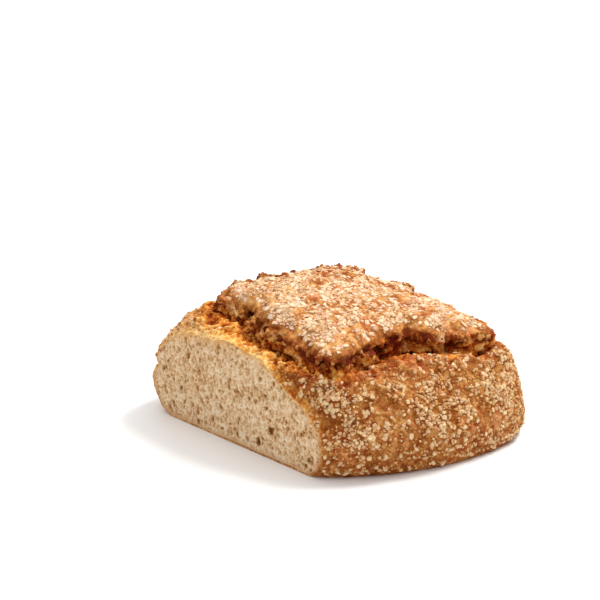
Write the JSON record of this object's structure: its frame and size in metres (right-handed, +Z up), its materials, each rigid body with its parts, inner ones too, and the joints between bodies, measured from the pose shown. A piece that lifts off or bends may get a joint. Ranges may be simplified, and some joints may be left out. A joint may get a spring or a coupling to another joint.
{
  "type": "sourdough boule",
  "caption": "Crusty round-cornered country loaf with one end sliced off flat, a lifted ragged lid of crust and oat flakes baked onto it.",
  "frame": {"origin": "middle of the loaf's footprint box, on the plane of its flat base", "axes": "+Z up, the sliced end faces -X, the longest side lies along Y, the front that leans back under the lid's lip faces -Y"},
  "size_m": [0.1626, 0.21, 0.0919],
  "materials": {
    "crust": "matt browned crust",
    "crumb": "matt open crumb",
    "oats": "matt toasted oat flakes"
  },
  "bodies": {
    "root": {"loaf": "crust"}
  },
  "joints": []
}
